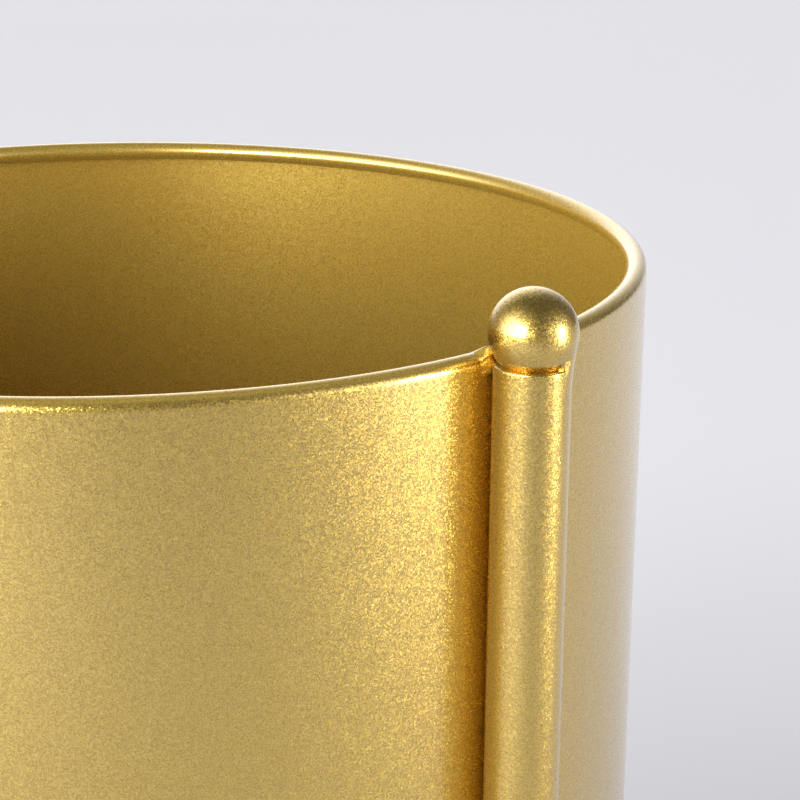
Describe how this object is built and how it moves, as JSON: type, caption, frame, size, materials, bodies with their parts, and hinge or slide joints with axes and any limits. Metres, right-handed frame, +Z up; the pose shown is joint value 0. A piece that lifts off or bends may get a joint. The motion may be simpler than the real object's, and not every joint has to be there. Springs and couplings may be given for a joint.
{
  "type": "planter pot",
  "caption": "Gold painted cylindrical metal planter pot with a rolled rim, held between two tube uprights with ball tops on a round base ring.",
  "frame": {"origin": "on the floor at the centre of the base ring, under the pot's axis", "axes": "+Z up along the pot's axis; the two uprights stand on the X axis, at +X and -X"},
  "size_m": [0.237, 0.237, 0.2868],
  "materials": {
    "gold_paint": "satin metallic flake paint over steel",
    "black_rubber": "matte moulded rubber"
  },
  "bodies": {
    "planter": {"pot_wall": "gold_paint", "pot_base": "gold_paint", "base_weld": "gold_paint", "half_ring_right": "gold_paint", "half_ring_left": "gold_paint", "upright_right": "gold_paint", "upright_left": "gold_paint", "ball_right": "gold_paint", "ball_left": "gold_paint", "ball_weld_right": "gold_paint", "ball_weld_left": "gold_paint", "rim_weld_right": "gold_paint", "rim_weld_left": "gold_paint", "low_weld_right": "gold_paint", "low_weld_left": "gold_paint", "ring_weld_right": "gold_paint", "ring_weld_left": "gold_paint", "foot_pad_1": "black_rubber", "foot_pad_2": "black_rubber", "foot_pad_3": "black_rubber", "foot_pad_4": "black_rubber"},
    "plug": {"drain_plug": "black_rubber"}
  },
  "joints": [
    {"name": "plug_lift", "type": "slide", "parent": "planter", "child": "plug", "axis": [0, 0, 1], "range_m": [0, 0.19]}
  ]
}
